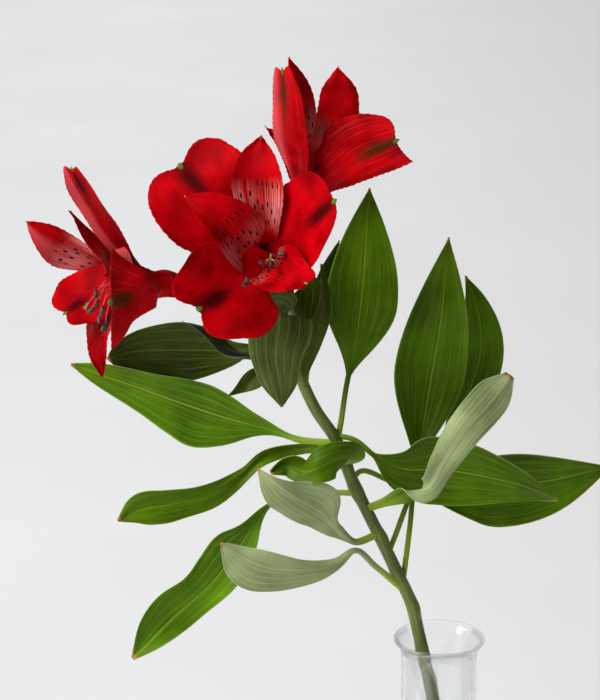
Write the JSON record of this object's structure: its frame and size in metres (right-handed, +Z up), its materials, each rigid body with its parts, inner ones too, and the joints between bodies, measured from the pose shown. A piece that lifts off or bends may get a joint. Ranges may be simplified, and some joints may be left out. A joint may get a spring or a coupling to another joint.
{
  "type": "cut alstroemeria stem in a vase",
  "caption": "Cut stem of red alstroemerias with leaves, standing in a clear glass vase with a narrow neck, part filled with water.",
  "frame": {"origin": "centre of the vase's flat underside, on the vase's axis", "axes": "+Z up along the vase's axis, -Y the side that the flowers face, +X to the right seen from there"},
  "size_m": [0.1754, 0.0794, 0.2953],
  "materials": {
    "vase": "clear polished glass",
    "water": "clear still water",
    "stem": "smooth satin green stem",
    "leaf": "smooth satin leaf with parallel veins",
    "leaf_under": "matt pale leaf underside",
    "outer_petal": "soft velvet petal",
    "inner_petal": "soft velvet petal, streaked",
    "ovary": "smooth satin green",
    "stamens": "smooth thread with matt pollen sacs"
  },
  "bodies": {
    "root": {"bract_behind": "leaf", "bract_edge": "leaf", "bract_folded": "leaf_under", "bract_left": "leaf", "bract_right": "leaf", "bract_small": "leaf", "bract_twisted": "leaf", "centre_inner_left": "inner_petal", "centre_inner_low": "inner_petal", "centre_inner_top": "inner_petal", "centre_outer_left": "outer_petal", "centre_outer_low": "outer_petal", "centre_outer_right": "outer_petal", "centre_ovary": "ovary", "centre_pedicel": "stem", "centre_stamens": "stamens", "leaf_back_right": "leaf", "leaf_curled": "leaf", "leaf_far_right": "leaf", "leaf_long_left": "leaf", "leaf_low_right": "leaf", "leaf_lowest_left": "leaf", "leaf_narrow_left": "leaf", "leaf_pale_low": "leaf_under", "leaf_pale_middle": "leaf_under", "leaf_pale_right": "leaf_under", "leaf_tall_right": "leaf", "leaf_upright": "leaf", "left_inner_low": "inner_petal", "left_inner_near": "inner_petal", "left_inner_top": "inner_petal", "left_outer_far": "outer_petal", "left_outer_near": "outer_petal", "left_outer_top": "outer_petal", "left_ovary": "ovary", "left_pedicel": "stem", "left_stamens": "stamens", "right_inner_back": "inner_petal", "right_inner_front": "inner_petal", "right_inner_left": "inner_petal", "right_outer_back": "outer_petal", "right_outer_left": "outer_petal", "right_outer_right": "outer_petal", "right_ovary": "ovary", "right_pedicel": "stem", "right_stamens": "stamens", "stem": "stem", "vase": "vase", "water": "water"}
  },
  "joints": []
}
